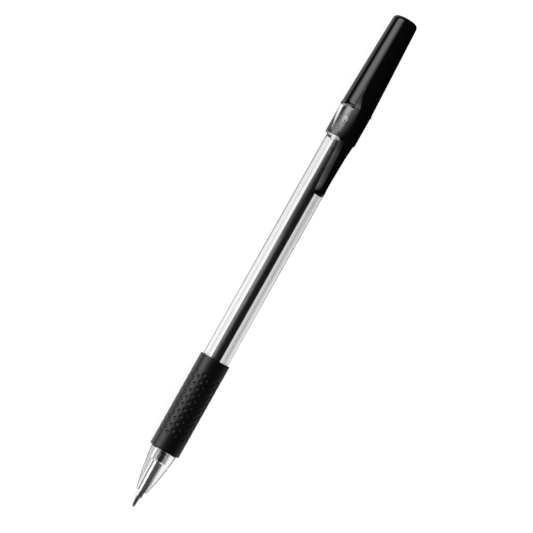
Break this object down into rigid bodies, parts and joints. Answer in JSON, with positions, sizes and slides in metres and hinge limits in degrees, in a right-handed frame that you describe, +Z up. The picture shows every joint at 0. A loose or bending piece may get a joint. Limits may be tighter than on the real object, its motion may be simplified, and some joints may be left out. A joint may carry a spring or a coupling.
{
  "type": "ballpoint pen",
  "caption": "Capped ballpoint pen with a clear barrel, rubber grip sleeve and a sprung pocket clip, its cap posted on the rear end.",
  "frame": {"origin": "centre of the bounding box, at its lowest level, with the pen lying along X", "axes": "+X along the pen from the writing tip to the cap's closed end, +Z up through the pocket clip"},
  "size_m": [0.1608, 0.01, 0.0107],
  "materials": {
    "clear_barrel": "clear polished styrene",
    "clear_nose": "clear polished styrene",
    "clear_collar": "clear polished styrene",
    "grip_rubber": "matte black moulded rubber with small dimples",
    "tube_plastic": "smoky translucent tube",
    "ink": "black ink paste",
    "point_metal": "turned nickel silver",
    "ball_metal": "polished ball",
    "plug_plastic": "gloss black",
    "cap_plastic": "gloss black",
    "clip_plastic": "gloss black"
  },
  "bodies": {
    "pen_body": {"barrel": "clear_barrel", "nose_cone": "clear_nose", "grip_sleeve": "grip_rubber", "ink_tube": "tube_plastic", "ink_column": "ink", "point_body": "point_metal", "rear_plug": "plug_plastic"},
    "ball": {"tip_ball": "ball_metal"},
    "cap": {"cap_shell": "cap_plastic", "cap_liner": "clear_collar"},
    "clip": {"pocket_clip": "clip_plastic"}
  },
  "joints": [
    {"name": "cap_pull", "type": "slide", "parent": "pen_body", "child": "cap", "axis": [1, 0, 0], "range_m": [0, 0.035]},
    {"name": "clip_flex", "type": "hinge", "parent": "cap", "child": "clip", "pos_m": [0.05013, 0, 0.0104], "axis": [0, 1, 0], "range_deg": [0, 5], "stiffness_Nm_per_rad": 0.35},
    {"name": "ball_roll", "type": "hinge", "parent": "pen_body", "child": "ball", "pos_m": [-0.08003, 0, 0.005], "axis": [0, 1, 0], "continuous": true}
  ]
}
